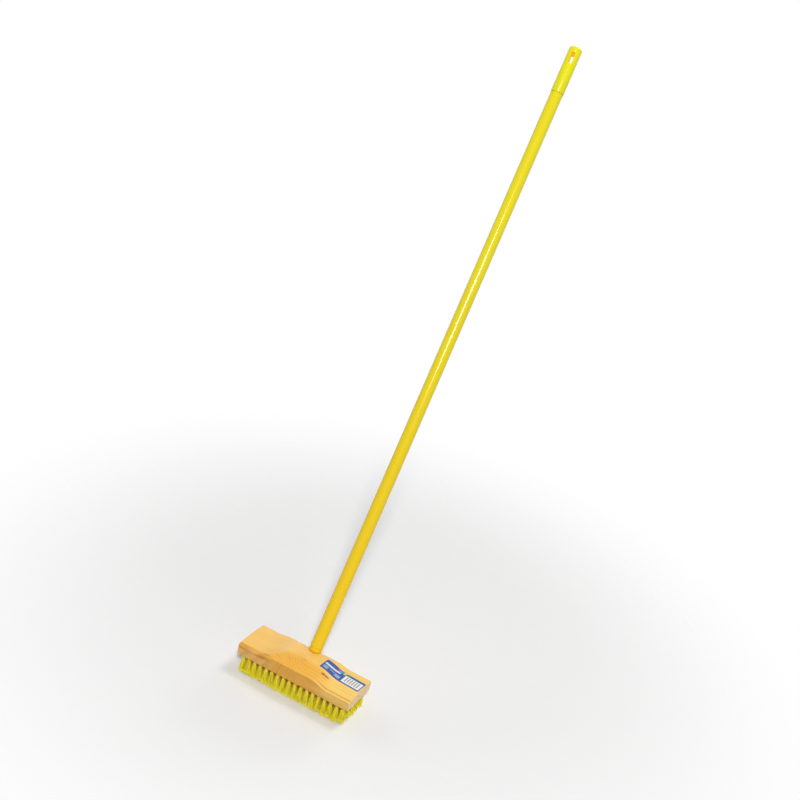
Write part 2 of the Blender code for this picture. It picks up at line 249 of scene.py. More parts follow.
# %% The stock's surface
UPPER_EDGE, LOWER_EDGE = 0.0007, 0.0009      # radii of the stock's broken edges
CORNER_SHARE = 0.9                           # the corners are a little flatter than an arc
MARGIN = 0.06, 0.94                          # shares of the width, with finer steps outside them


def edge_drop(distance, radius):
    """How far a rounded edge lies below its flat side: r - sqrt(r^2 - (r - d)^2)."""
    inside = np.clip(radius - distance, 0, radius)
    return radius - np.sqrt(radius ** 2 - inside ** 2)


def stations():
    """Places along the stock, closer together towards the ends."""
    half = LENGTH / 2
    middle = np.linspace(0, half - CORNER, 96)
    turn = np.linspace(0, math.pi / 2, 12)[1:]
    end = half - CORNER + CORNER * np.sin(turn)
    right = np.concatenate([middle, end])
    return np.concatenate([-right[:0:-1], right])


def over_top():
    """Shares of the width from front to back, closest together at the edges."""
    near_edge = np.linspace(0, 1, 9)[:-1] ** 1.6 * MARGIN[0]
    return np.concatenate([near_edge, np.linspace(*MARGIN, 61), 1 - near_edge[::-1]])


def along_underside():
    """Shares of the width from back to front."""
    return np.concatenate([np.linspace(1, MARGIN[1], 7), np.linspace(*MARGIN[::-1], 45)[1:],
                           np.linspace(MARGIN[0], 0, 7)[1:]])


def stock_surface():
    """A loop at every station: over the top, then back along the underside."""
    x = stations()[:, None]
    half = LENGTH / 2
    past = np.clip(np.abs(x) - (half - CORNER), 0, CORNER)
    half_width = WIDTH / 2 - (CORNER - np.sqrt(CORNER ** 2 - past ** 2)) * CORNER_SHARE
    end_drop = edge_drop(half - np.abs(x), UPPER_EDGE)

    y_top = half_width * (2 * over_top() - 1)[None, :]
    side_drop = edge_drop(half_width - np.abs(y_top), UPPER_EDGE)
    z_top = top(np.broadcast_to(x, y_top.shape), y_top) - side_drop - end_drop

    y_under = half_width * (2 * along_underside() - 1)[None, :]
    z_under = edge_drop(half_width - np.abs(y_under), LOWER_EDGE) + end_drop

    y = np.concatenate([y_top, y_under], 1)
    z = np.concatenate([z_top, z_under], 1)
    return np.stack([np.broadcast_to(x, y.shape), y, z], -1)


grid = stock_surface()
count, loop = grid.shape[:2]
ends = [np.arange(loop)[None, ::-1], (count - 1) * loop + np.arange(loop)[None]]
stock_wood = add_piece("stock_wood", closed_mesh(
    "stock_wood", grid.reshape(-1, 3), grid_faces(count, loop, wrap=True), np.concatenate(ends)))
print("stock surface:", count, "stations of", loop, "points")

# %% [markdown]
# ## Holes in the stock
#
# Each tuft sits in its own drilled hole, and the handle's fitting sits in a round seat with a
# bore below it. The seat is sunk into the slant, so the collar has wood all round. Both are cut
# with closed shapes: short prisms for the tufts, and a turned shape for the seat.

# %% Turned shapes on the handle's axis
def turned(profile, sides=96, ridge=None):
    """Points and faces of a profile of (radius, height) turned about the handle's axis.

    The profile starts and ends on the axis, where a single point closes it. A ridge is a
    function of height and angle that adds to the radius, for a thread.
    """
    profile = np.asarray(profile, float)
    angle = 2 * np.pi * np.arange(sides) / sides
    radius = np.repeat(profile[1:-1, :1], sides, 1)
    height = np.repeat(profile[1:-1, 1:], sides, 1)
    if ridge:
        radius = radius + ridge(height, angle[None, :])
    rings = np.stack([radius * np.cos(angle), radius * np.sin(angle), height], -1)
    ends = np.array([[0, 0, profile[0, 1]], [0, 0, profile[-1, 1]]])
    points = on_handle(np.concatenate([rings.reshape(-1, 3), ends]))
    quads = grid_faces(len(profile) - 2, sides, wrap=True)
    side = np.arange(sides)
    beside = (side + 1) % sides
    last = (len(profile) - 3) * sides
    first_pole = (len(profile) - 2) * sides
    fans = np.concatenate([
        np.stack([np.full(sides, first_pole), side, beside], -1),
        np.stack([np.full(sides, first_pole + 1), last + beside, last + side], -1)])
    return points, quads, fans


def on_handle(points):
    """From the handle's own axes to the brush's: across, behind and up along the handle."""
    return SEAT + points[:, :1] * ACROSS + points[:, 1:2] * BEHIND + points[:, 2:] * UP_HANDLE


def arc(centre, radius, start, end, steps):
    """Points of an arc in a profile, by angles in degrees from outwards towards upwards."""
    turn = np.radians(np.linspace(start, end, steps))
    return np.stack([centre[0] + radius * np.cos(turn), centre[1] + radius * np.sin(turn)], -1)


print("a handle point 1 m up lies at", on_handle(np.array([[0, 0, 1.0]])).round(3)[0])

# %% The seat and its bore
SEAT_RADIUS = 0.0113               # 0.75 mm less than in the solids, close round the collar's foot
BORE_RADIUS, BORE_DEPTH = 0.0076, 0.0170
bore_mouth = 0.0006                # the bore's edge is broken
over_wood = 0.03                   # a height that is clear of the wood
seat_profile = [
    (0, -BORE_DEPTH), (BORE_RADIUS, -BORE_DEPTH), (BORE_RADIUS, -bore_mouth),
    (BORE_RADIUS + bore_mouth, 0), (SEAT_RADIUS, 0), (SEAT_RADIUS, over_wood), (0, over_wood)]
cut_with(stock_wood, closed_mesh("seat_cutter", *turned(seat_profile, sides=64)))
print("seat %.1f mm wide, bore %.1f mm deep" % (2000 * SEAT_RADIUS, 1000 * BORE_DEPTH))

# %% The tuft holes
TUFTS, TUFT_PITCH = 18, 0.0122     # along a row
ROWS, ROW_PITCH = 5, 0.0160        # across the stock
HOLE_RADIUS, HOLE_DEPTH = 0.0035, 0.006
below_wood = 0.002                 # how far the cutters reach out of the underside


def evenly(count, pitch):
    """Places a pitch apart, about 0."""
    return (np.arange(count) - (count - 1) / 2) * pitch


def prisms(centres, radius, low, high, sides=24):
    """Closed upright prisms on regular polygons, one at every centre, as points and faces."""
    angle = 2 * np.pi * np.arange(sides) / sides
    ring = radius * np.stack([np.cos(angle), np.sin(angle)], -1)
    plan = centres[:, None, :] + ring[None]
    count = len(centres)
    points = np.stack([np.concatenate([plan, np.full((count, sides, 1), height)], -1)
                       for height in (low, high)], 1).reshape(-1, 3)
    start = 2 * sides * np.arange(count)[:, None]
    side = np.arange(sides)[None]
    beside = (side + 1) % sides
    walls = np.stack([start + side, start + beside, start + sides + beside,
                      start + sides + side], -1).reshape(-1, 4)
    caps = np.concatenate([start + side[:, ::-1], start + sides + side])
    return points, walls, caps


columns, rows = evenly(TUFTS, TUFT_PITCH), evenly(ROWS, ROW_PITCH)
centres = np.stack(np.meshgrid(columns, rows, indexing="ij"), -1).reshape(-1, 2)
cut_with(stock_wood, closed_mesh("hole_cutter", *prisms(
    centres, HOLE_RADIUS, -below_wood, HOLE_DEPTH)))
shade(stock_wood.data)
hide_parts("stock")
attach(stock_wood, "head")
print("stock with", len(centres), "tuft holes:", len(stock_wood.data.polygons), "faces")

# %% [markdown]
# ## Bristles
#
# A tuft is a bundle of thin filaments, folded over a wire deep in its hole. They leave the hole
# as a tight bundle and spread a little on the way down, and each one is crimped and cut at its
# own height. The last tuft of a row, on the right, opens sooner than the others, and the two at
# the right front corner are worn shorter. All the filaments of a row are worked out at once:
# every point is the filament's root, plus a sideways drift that grows towards the tip, plus a
# small wave.

# %% Filaments
FILAMENTS = 84                         # in a tuft
RINGS, SIDES = 7, 3                    # points along a filament, and round it
FILAMENT_RADIUS, TAPER = 0.00040, 0.10 # its radius in the hole, and the share lost at the tip
ROOT_HEIGHT, ROOT_REACH = 0.0035, 0.0027           # the bundle in its hole
TIP_REACH = 0.0066, 0.0078             # the open tuft's radius, from the slimmest to the widest
TUFT_CUT = 0.0344, 0.0366              # its length below the wood
LEAN_SPREAD, STRAY = 0.00055, 0.00045  # how unevenly tufts lean, and filaments lie and are cut
DOMED = 0.0006                         # how much shorter a tuft's outer filaments are
SHORTEST = 0.030
WAVE, WAVES = 0.00016, 2.3             # the crimp's height, and how many fit on a filament
OPENING, END_OPENING = 1.9, 1.4        # powers of the drift: a low one opens a tuft sooner
KEEP_IN = np.array([LENGTH / 2 - 0.0008, WIDTH / 2 - 0.0006])      # no tip passes these
WORN = 0.0026, 0.0020, 0.0, 0.0, 0.0   # taken off the right end tuft, from the front row back
WORN_LEAN = np.array([-0.4, 1.0])      # such a tuft leans inwards, this many times its wear


def spread(count):
    """Even places in a unit disc: the square root of the share as radius, the golden angle."""
    k = np.arange(count) + 0.5
    angle = k * np.pi * (3 - math.sqrt(5))
    return np.sqrt(k / count)[:, None] * np.stack([np.cos(angle), np.sin(angle)], -1)


def filament_ends(middle, tuft, disc, chance, worn):
    """Roots, tips and lengths: a tuft's own lean, reach and cut, plus each filament's stray."""
    count = len(disc)
    lean = chance.normal(0, LEAN_SPREAD, (TUFTS, 2))
    lean[-1] += worn * WORN_LEAN
    reach = chance.uniform(*TIP_REACH, TUFTS)
    tip = (middle + lean[tuft] + reach[tuft, None] * disc
           + chance.normal(0, STRAY, (count, 2)))
    tuft_cut = chance.uniform(*TUFT_CUT, TUFTS)
    tuft_cut[-1] -= worn
    cut = tuft_cut[tuft] + chance.normal(0, STRAY, count)
    cut -= DOMED * (disc ** 2).sum(1)
    return (middle + ROOT_REACH * disc, np.clip(tip, -KEEP_IN, KEEP_IN),
            np.clip(cut, SHORTEST, BRISTLE_LENGTH - 0.0001))


def filament_spines(root, tip, cut, power, chance):
    """Points down every filament: root to tip by t to a power, plus a sine wave that grows."""
    t = np.linspace(0, 1, RINGS)[None, :]
    drift = (t ** power[:, None])[:, None, :]
    phase = chance.uniform(0, 2 * np.pi, (len(root), 2, 1))
    wave = WAVE * np.sin(2 * np.pi * WAVES * t[:, None, :] + phase) * (0.3 + 0.7 * t[:, None, :])
    plan = root[:, :, None] * (1 - drift) + tip[:, :, None] * drift + wave
    height = ROOT_HEIGHT - t * (cut[:, None] + ROOT_HEIGHT)
    return np.concatenate([plan, height[:, None, :]], 1).transpose(0, 2, 1)


def keep_on_points(mesh, name, values):
    """Stores one value for each filament on all of its points."""
    kept = mesh.attributes.new(name, "FLOAT", "POINT")
    kept.data.foreach_set("value", np.repeat(values, RINGS * SIDES).astype(np.float32))


# %% Bristle rows
def bristle_row(name, y, chance, worn):
    """One row of tufts, with a tone for each filament and 1 for those on the outer faces."""
    disc = np.tile(spread(FILAMENTS), (TUFTS, 1))
    tuft = np.repeat(np.arange(TUFTS), FILAMENTS)
    count = len(disc)
    middle = np.stack([columns[tuft], np.full(count, y)], -1)
    root, tip, cut = filament_ends(middle, tuft, disc, chance, worn)
    power = np.where(tuft == TUFTS - 1, END_OPENING, OPENING)
    spine = filament_spines(root, tip, cut, power, chance)

    turn = (chance.uniform(0, 2 * np.pi, count)[:, None]
            + 2 * np.pi * np.arange(SIDES)[None, :] / SIDES)
    ring = np.stack([np.cos(turn), np.sin(turn), np.zeros_like(turn)], -1)
    radius = FILAMENT_RADIUS * (1 - TAPER * np.linspace(0, 1, RINGS))
    points = spine[:, :, None, :] + radius[None, :, None, None] * ring[:, None, :, :]

    start = (RINGS * SIDES * np.arange(count))[:, None]
    walls = grid_faces(RINGS, SIDES, wrap=True)[None] + start[:, :, None]
    ends = np.concatenate([start + np.arange(SIDES)[None, ::-1],
                           start + (RINGS - 1) * SIDES + np.arange(SIDES)[None]])
    mesh = mesh_from(name, points.reshape(-1, 3), walls.reshape(-1, 4), ends)
    keep_on_points(mesh, "tone", chance.uniform(0, 1, count) * 0.6
                   + chance.uniform(0, 1, TUFTS)[tuft] * 0.4)
    to_face = np.array([columns[-1], rows[-1]]) - np.abs(root)
    keep_on_points(mesh, "outside", 1 - smooth_step(to_face.min(1), -0.0022, 0.0006))
    mesh.shade_smooth()
    return mesh


chance = np.random.default_rng(7)
bristle_rows = []
for number, (y, worn) in enumerate(zip(rows, WORN), start=1):
    piece = add_piece(f"tufts_{number}", bristle_row(f"tufts_{number}", y, chance, worn))
    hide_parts(f"bristle_row_{number}")
    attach(piece, "head")
    bristle_rows.append(piece)
print(len(bristle_rows), "rows of", len(columns), "tufts with", FILAMENTS, "filaments each,",
      len(piece.data.polygons), "faces a row")

# %% [markdown]
# ## Sticker
#
# The sticker is a flat rectangle pressed onto the slope between the middle and the right wing.
# Its points are laid out flat first, turned a little, and then take the height of the stock's
# top under them. It is given a thickness, and the flat layout is kept as its UV map.

# %% Sticker
STICKER_LENGTH, STICKER_WIDTH, STICKER_CORNER = 0.0825, 0.0280, 0.0012
STICKER_MIDDLE, STICKER_TURN = (0.0719, 0.0091), math.radians(-3.2)
STICKER_LIFT, STICKER_THICKNESS = 0.00012, 0.00022


def sticker_mesh(steps_along=90, steps_across=26):
    """A thin sheet over the stock's top: height there plus a hair, in two layers.

    Near the long edges the sheet gets shorter by r - sqrt(r^2 - d^2), which rounds the corners.
    The eighth power keeps that pull near the ends.
    """
    u, v = np.meshgrid(np.linspace(0, 1, steps_along), np.linspace(0, 1, steps_across),
                       indexing="ij")
    along, across = (u - 0.5) * STICKER_LENGTH, (v - 0.5) * STICKER_WIDTH
    past = np.clip(np.abs(across) - (STICKER_WIDTH / 2 - STICKER_CORNER), 0, STICKER_CORNER)
    pull = STICKER_CORNER - np.sqrt(STICKER_CORNER ** 2 - past ** 2)
    along = along - np.sign(along) * pull * (np.abs(along) / (STICKER_LENGTH / 2)) ** 8
    cos, sin = math.cos(STICKER_TURN), math.sin(STICKER_TURN)
    x = STICKER_MIDDLE[0] + along * cos - across * sin
    y = STICKER_MIDDLE[1] + along * sin + across * cos
    layers = [np.stack([x, y, top(x, y) + lift], -1).reshape(-1, 3)
              for lift in (STICKER_LIFT, STICKER_LIFT + STICKER_THICKNESS)]
    quads = grid_faces(steps_along, steps_across)
    index = np.arange(u.size).reshape(u.shape)
    rim = np.concatenate([index[:, 0], index[-1, 1:], index[-2::-1, -1], index[0, -2:0:-1]])
    after = np.roll(rim, -1)
    walls = np.stack([rim, after, after + u.size, rim + u.size], -1)
    mesh = closed_mesh("sticker", np.concatenate(layers), quads[:, ::-1], quads + u.size, walls)
    layout = np.tile(np.stack([u, v], -1).reshape(-1, 2), (2, 1))
    corners = np.empty(len(mesh.loops), np.int32)
    mesh.loops.foreach_get("vertex_index", corners)
    mesh.uv_layers.new(name="layout").data.foreach_set("uv", layout[corners].astype(
        np.float32).ravel())
    shade(mesh)
    return mesh


sticker = add_piece("sticker", sticker_mesh())
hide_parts("label")
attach(sticker, "head")
print("sticker:", len(sticker.data.polygons), "faces")

# %% [markdown]
# ## End fitting
#
# The fitting is one turned moulding. A coarse thread goes down into the stock, a short collar
# widens from its foot to the tube's width and ends in a shallow groove, and a hollow plug goes up
# inside the tube. The thread is a ridge that adds to the radius: it depends on the height less
# one pitch for every turn.

# %% End fitting
THREAD_PITCH, THREAD_DEPTH = 0.0050, 0.0160
THREAD_CORE, THREAD_HEIGHT = 0.0063, 0.0010
FLAT_AND_FLANK, FLANK = 0.30, 0.16     # shares of the pitch, from the ridge's middle


def thread(height, angle):
    """A flat-topped ridge wound up the core, faded out near the tip and under the collar."""
    phase = (height / THREAD_PITCH - angle / (2 * np.pi)) % 1.0
    ridge = np.clip((FLAT_AND_FLANK - np.abs(phase - 0.5)) / FLANK, 0, 1)
    fade = smooth_step(height, -THREAD_DEPTH + 0.0012, -THREAD_DEPTH + 0.0030)
    fade = fade * (1 - smooth_step(height, -0.0018, -0.0006))
    return THREAD_HEIGHT * ridge * fade * (height < 0)


FOOT_RADIUS, FOOT, COLLAR_TOP = 0.0102, 0.0003, 0.0083
PLUG_RADIUS = TUBE_RADIUS - TUBE_WALL - 0.0003     # clear of the tube's inner wall
PLUG_WALL, PLUG_LENGTH, PLUG_FLOOR = 0.0022, 0.045, 0.002
blunt = 0.0015                                     # the tip of the thread, and of the plug
plug_top, plug_floor = COLLAR_TOP + PLUG_LENGTH, COLLAR_TOP + PLUG_FLOOR
fitting_profile = np.concatenate([
    # the thread's core, in steps that are fine enough for the ridge
    [(0, -THREAD_DEPTH), (THREAD_CORE - blunt, -THREAD_DEPTH)],
    [(THREAD_CORE, -THREAD_DEPTH + blunt)],
    np.stack([np.full(84, THREAD_CORE), np.linspace(-THREAD_DEPTH + 0.0016, -0.0001, 84)], -1),
    # the collar: its foot with a softened edge, the taper, and the full width
    [(THREAD_CORE, FOOT), (FOOT_RADIUS - 0.0003, FOOT), (FOOT_RADIUS - 0.0001, FOOT + 0.0001)],
    [(FOOT_RADIUS, FOOT + 0.0003), (TUBE_RADIUS - 0.0004, 0.0026)],
    [(TUBE_RADIUS - 0.0001, 0.0034), (TUBE_RADIUS, 0.0042), (TUBE_RADIUS, 0.0059)],
    # the groove under the tube's end
    [(TUBE_RADIUS - 0.0001, 0.0062), (TUBE_RADIUS - 0.0011, 0.0066)],
    [(TUBE_RADIUS - 0.0012, 0.0078), (TUBE_RADIUS - 0.0010, COLLAR_TOP)],
    # the plug, up its outside and down its hollow
    [(PLUG_RADIUS, COLLAR_TOP), (PLUG_RADIUS, plug_top - blunt)],
    [(PLUG_RADIUS - 0.0008, plug_top), (PLUG_RADIUS - PLUG_WALL, plug_top)],
    [(PLUG_RADIUS - PLUG_WALL, plug_floor), (0, plug_floor)]])
fitting_mesh = closed_mesh("end_fitting", *turned(fitting_profile, ridge=thread))
shade(fitting_mesh)
end_fitting = add_piece("end_fitting", fitting_mesh)
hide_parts("threaded_end")
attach(end_fitting, "fitting")
print("end fitting:", len(fitting_mesh.polygons), "faces")

# %% [markdown]
# ## Tube
#
# The handle's tube is thin steel with a plastic coat. It is a ring-shaped profile carried round
# the axis: up the outside, over the rim, down the inside, and back under the lower rim.

# %% Tube
def tube_mesh(sides=96, steps=60):
    """Outer wall, upper rim, inner wall and lower rim, joined into one closed surface."""
    inner, rim = TUBE_RADIUS - TUBE_WALL, 0.0002
    heights = np.linspace(TUBE_LOW + rim, TUBE_HIGH - rim, steps)
    profile = np.concatenate([
        [(TUBE_RADIUS - rim, TUBE_LOW)], np.stack([np.full(steps, TUBE_RADIUS), heights], -1),
        [(TUBE_RADIUS - rim, TUBE_HIGH), (inner, TUBE_HIGH), (inner, TUBE_LOW)]])
    angle = 2 * np.pi * np.arange(sides) / sides
    rings = np.stack([profile[:, :1] * np.cos(angle), profile[:, :1] * np.sin(angle),
                      np.repeat(profile[:, 1:], sides, 1)], -1)
    count = len(profile) * sides
    quads = grid_faces(len(profile) + 1, sides, wrap=True) % count
    mesh = closed_mesh("tube_coat", on_handle(rings.reshape(-1, 3)), quads)
    shade(mesh)
    return mesh


tube_coat = add_piece("tube_coat", tube_mesh())
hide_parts("handle_tube")
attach(tube_coat, "handle")
print("tube:", len(tube_coat.data.polygons), "faces")

# %% [markdown]
# ## Hanging cap
#
# The cap is turned like the fitting, with a gently domed top. Its slot is cut right through by a
# prism with rounded corners, lying square to the handle and turned twelve degrees to one side.
# A narrow bevel then softens the slot's rim, as the edges of a moulding are.

# %% Hanging cap
CAP_RADIUS, CAP_LENGTH = 0.01235, 0.09095
CAP_EDGE, DOME_RISE = 0.0030, 0.0008               # radius of the top's rim, height of its dome
SLOT_WIDTH, SLOT_LENGTH, SLOT_CORNER = 0.0072, 0.0222, 0.0014
SLOT_INSET, SLOT_TURN = 0.01225, math.radians(12)
HOLLOW_RADIUS, SOLID_UNDER_SLOT, CAP_PLUG = 0.0080, 0.010, 0.030
cap_low = TUBE_HIGH + 0.0003                       # a hair above the tube's end
cap_top = cap_low + CAP_LENGTH
slot_middle = cap_top - SLOT_INSET - SLOT_LENGTH / 2
hollow_top = slot_middle - SLOT_LENGTH / 2 - SOLID_UNDER_SLOT


def slot_cutter():
    """A rounded rectangle carried through the cap along its front-to-back way."""
    quarter = np.linspace(0, np.pi / 2, 7)
    inner = np.array([SLOT_WIDTH / 2 - SLOT_CORNER, SLOT_LENGTH / 2 - SLOT_CORNER])
    outline = np.concatenate([
        inner * signs + SLOT_CORNER * np.stack([np.cos(quarter + k * np.pi / 2),
                                                np.sin(quarter + k * np.pi / 2)], -1)
        for k, signs in enumerate(((1, 1), (-1, 1), (-1, -1), (1, -1)))])
    count = len(outline)
    way = np.array([math.sin(SLOT_TURN), -math.cos(SLOT_TURN), 0])
    aside = np.array([math.cos(SLOT_TURN), math.sin(SLOT_TURN), 0])
    flat = outline[:, :1] * aside + (outline[:, 1:] + slot_middle) * np.array([0, 0, 1.0])
    reach = 0.02                                   # past the cap on both sides
    points = np.concatenate([flat - reach * way, flat + reach * way])
    side = np.arange(count)
    beside = (side + 1) % count
    walls = np.stack([side, beside, beside + count, side + count], -1)
    return closed_mesh("slot_cutter", on_handle(points), walls, side[None, ::-1],
                       side[None] + count)


dome_reach = CAP_RADIUS - CAP_EDGE
dome_radius = dome_reach * (1 - np.linspace(0, 1, 6)[1:-1])
cap_profile = np.concatenate([
    # the hollow, down to the plug's lower end
    [(0, hollow_top), (HOLLOW_RADIUS - 0.0002, hollow_top), (HOLLOW_RADIUS, hollow_top - 0.0002)],
    [(HOLLOW_RADIUS, cap_low - CAP_PLUG), (PLUG_RADIUS - 0.0008, cap_low - CAP_PLUG)],
    # up the plug, and out to the skirt with a softened edge
    [(PLUG_RADIUS, cap_low - CAP_PLUG + 0.0012), (PLUG_RADIUS, cap_low)],
    [(CAP_RADIUS - 0.0004, cap_low), (CAP_RADIUS - 0.0001, cap_low + 0.0001)],
    [(CAP_RADIUS, cap_low + 0.0005)],
    # the rim of the top, and the dome, which falls with the square of the radius
    arc((dome_reach, cap_top - DOME_RISE - CAP_EDGE), CAP_EDGE, 0, 90, 10),
    np.stack([dome_radius, cap_top - DOME_RISE * (dome_radius / dome_reach) ** 2], -1),
    [(0, cap_top)]])
cap_moulding = add_piece("cap_moulding", closed_mesh(
    "cap_moulding", *turned(cap_profile, sides=72)))
cut_with(cap_moulding, slot_cutter())
soften = cap_moulding.modifiers.new("soften", "BEVEL")
soften.width, soften.segments = 0.0005, 3
soften.limit_method, soften.angle_limit = "ANGLE", math.radians(50)
bake(cap_moulding)
shade(cap_moulding.data, 40)
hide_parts("hanging_cap")
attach(cap_moulding, "handle")
print("cap:", len(cap_moulding.data.polygons), "faces, slot middle at %.1f mm" % (
    1000 * slot_middle))

# %% [markdown]
# ## Shader maths as Python
#
# A material is a net of small nodes. Wiring them by hand hides the formula, so one small class
# wraps a socket and lets Python's own signs add the Math nodes. Any other node comes from its
# one method, which takes the node's type, its settings, and what goes into its sockets.

# %% The wire class
class Wire:
    """A value or colour on its way through a material's nodes."""

    def __init__(self, tree, socket=None):
        self.tree, self.socket = tree, socket

    def node(self, kind, settings=None, inputs=None, output=0):
        """Adds a node, sets it up, fills its sockets, and returns one of its outputs."""
        made = self.tree.nodes.new(kind)
        for key, value in (settings or {}).items():
            setattr(made, key, value)
        for key, value in (inputs or {}).items():
            if isinstance(value, Wire):
                self.tree.links.new(value.socket, made.inputs[key])
            else:
                made.inputs[key].default_value = value
        return Wire(self.tree, made.outputs[output])

    def maths(self, operation, *others):
        """A Math node with this value in its first socket."""
        return self.node("ShaderNodeMath", {"operation": operation},
                         dict(enumerate((self, *others))))

    def __add__(self, other):
        return self.maths("ADD", other)

    def __sub__(self, other):
        return self.maths("SUBTRACT", other)

    def __rsub__(self, other):
        return self.node("ShaderNodeMath", {"operation": "SUBTRACT"}, {0: other, 1: self})

    def __mul__(self, other):
        return self.maths("MULTIPLY", other)

    def __truediv__(self, other):
        return self.maths("DIVIDE", other)

    def __pow__(self, other):
        return self.maths("POWER", other)

    __radd__, __rmul__ = __add__, __mul__


def new_material(name):
    """A material with an empty start for its wires, and its main shader."""
    made = bpy.data.materials.new(name)
    made.use_nodes = True
    return made, Wire(made.node_tree), made.node_tree.nodes["Principled BSDF"]


def feed(shader, **inputs):
    """Sets or links sockets of the main shader: Base_Color for Base Color, and so on."""
    for key, value in inputs.items():
        socket = shader.inputs[key.replace("_", " ")]
        if isinstance(value, Wire):
            value.tree.links.new(value.socket, socket)
        else:
            socket.default_value = value


def parts_of(vector, count=3):
    """The first parts of a vector: x, y and z, or u and v."""
    return [vector.node("ShaderNodeSeparateXYZ", {}, {0: vector}, k) for k in range(count)]


def place_of(start):
    """The Object coordinates."""
    return start.node("ShaderNodeTexCoord", output="Object")


def between(wire, low, high):
    """0 below low, 1 above high, smooth between."""
    return wire.node("ShaderNodeMapRange", {"interpolation_type": "SMOOTHSTEP"},
                     {"Value": wire, "From Min": low, "From Max": high})


def mixed(share, first, second, kind="MIX"):
    """The first colour at share 0, the second at share 1. MULTIPLY tints the first with it."""
    colours = {6 + k: (*c, 1.0) if isinstance(c, tuple) else c
               for k, c in enumerate((first, second))}         # sockets 6 and 7 take colours
    return share.node("ShaderNodeMix", {"data_type": "RGBA", "blend_type": kind},
                      {0: share, **colours}, 2)


def noise(place, factors, detail=2.0, roughness=0.5, move=(0, 0, 0)):
    """Soft noise, 0 to 1, with this many lumps to a metre along x, y and z."""
    spread_out = place.node("ShaderNodeMapping", {}, {
        "Vector": place, "Scale": factors, "Location": move})
    return place.node("ShaderNodeTexNoise", {}, {
        "Vector": spread_out, "Scale": 1.0, "Detail": detail, "Roughness": roughness})


def stripes(wire, count):
    """A saw from 0 to 1 that starts again this many times in every unit."""
    return (wire * count).maths("FRACT")


def bump(height, strength, distance):
    """A bent normal that makes the height seen as relief."""
    return height.node("ShaderNodeBump", {}, {"Height": height, "Strength": strength,
                                             "Distance": distance})


# %% [markdown]
# ## Varnished pine
#
# A tree grows in rings about its pith. In this stock the pith lay level with it and behind, so
# the distance from that line gives the rings. The trunk also swung to one side near the middle
# of the stock, which is written as a smooth step along the length: there the rings cross the
# top as nested curves and stand steeply on the front face, and further right they run along.
# Both faces come from the one formula. Some years leave a strong ring and some a faint one, so
# each ring's number picks its strength. Long thin noise adds the fibres.

# %% Rings and spots
RING_WIDTH = 0.0060
PITH_Y, PITH_Z = 0.034, -0.005     # the trunk's middle line, level with the stock and behind


def ring_lines(place):
    """Late wood, 0 to 1: the last part of every ring of the distance from the pith."""
    x, y, z = parts_of(place)
    slow = noise(place, (9.0, 22.0, 22.0))
    wander = noise(place, (40.0, 90.0, 90.0), 3.0, 0.6)
    deep, aside = z - PITH_Z, y - PITH_Y
    distance = (deep * deep + aside * aside) ** 0.5
    swing = 0.026 * between(x, -0.046, 0.016) + 0.27 * x.maths("MINIMUM", 0.0)
    level = (distance - swing + 0.0070 * slow + 0.0030 * wander) / RING_WIDTH
    ring = level.maths("FRACT")
    year = place.node("ShaderNodeTexWhiteNoise", {"noise_dimensions": "1D"},
                      {"W": level.maths("FLOOR")})
    fade = noise(place, (28.0, 60.0, 60.0), move=(5.0, 2.0, 0))
    strength = (0.2 + 0.8 * year) * (0.35 + 0.75 * between(fade, 0.36, 0.60))
    return between(ring, 0.15, 0.88) * (1 - between(ring, 0.88, 1.0)) * strength


def spot(x, y, middle, half_sizes, ragged):
    """1 in the middle of an oval spot, 0 outside, with a ragged rim."""
    across, along = (x - middle[0]) / half_sizes[0], (y - middle[1]) / half_sizes[1]
    return 1 - between((across * across + along * along) ** 0.5 + ragged, 0.55, 1.15)


def window(wire, low, high, soft):
    """1 between low and high, fading over the soft width on both sides."""
    return between(wire, low - soft, low + soft) * (1 - between(wire, high - soft, high + soft))


# %% Marks on the wood
def shaped_edges(colour, place, late, fibre, broad, above):
    """Marks on the top: a darker rolled edge, painted shade and a painted highlight where the
    cutter ran out, and a line of late wood.
    """
    x, y = parts_of(place, 2)

    # the rolled front edge of the left wing is drawn darker and more orange
    rolled = (1 - between(y, -0.0345, -0.0295)) * (1 - between(x, -0.066, -0.040)) * above
    colour = mixed(rolled * (0.80 + 0.20 * late), colour, (0.71, 0.50, 0.16), "MULTIPLY")

    # a painted highlight along the rim where the cutter that shaped the left wing ran out into
    # the raised middle, and painted shade on the slope just before it
    bend = (-0.003 - y).maths("MAXIMUM", 0.0)
    past_rim = x + 0.0352 + 33.0 * bend * bend
    rim = window(past_rim, -0.0058, -0.0004, 0.0020) * between(y, -0.0315, -0.0260) * above
    before = between(past_rim, -0.030, -0.004) * (1 - between(past_rim, -0.001, 0.0)) * above
    colour = mixed(before * 0.40, colour, (0.78, 0.50, 0.19))
    colour = mixed(rim * 0.42, colour, (0.72, 0.54, 0.29))

    # a darker line of late wood along the right wing's front
    line = y + 0.0338 - 0.00088 * fibre - 0.0016 * broad
    return mixed(window(line, -0.0034, 0.0004, 0.0012) * between(x, 0.036, 0.062) * above,
                 colour, (0.82, 0.68, 0.36), "MULTIPLY")


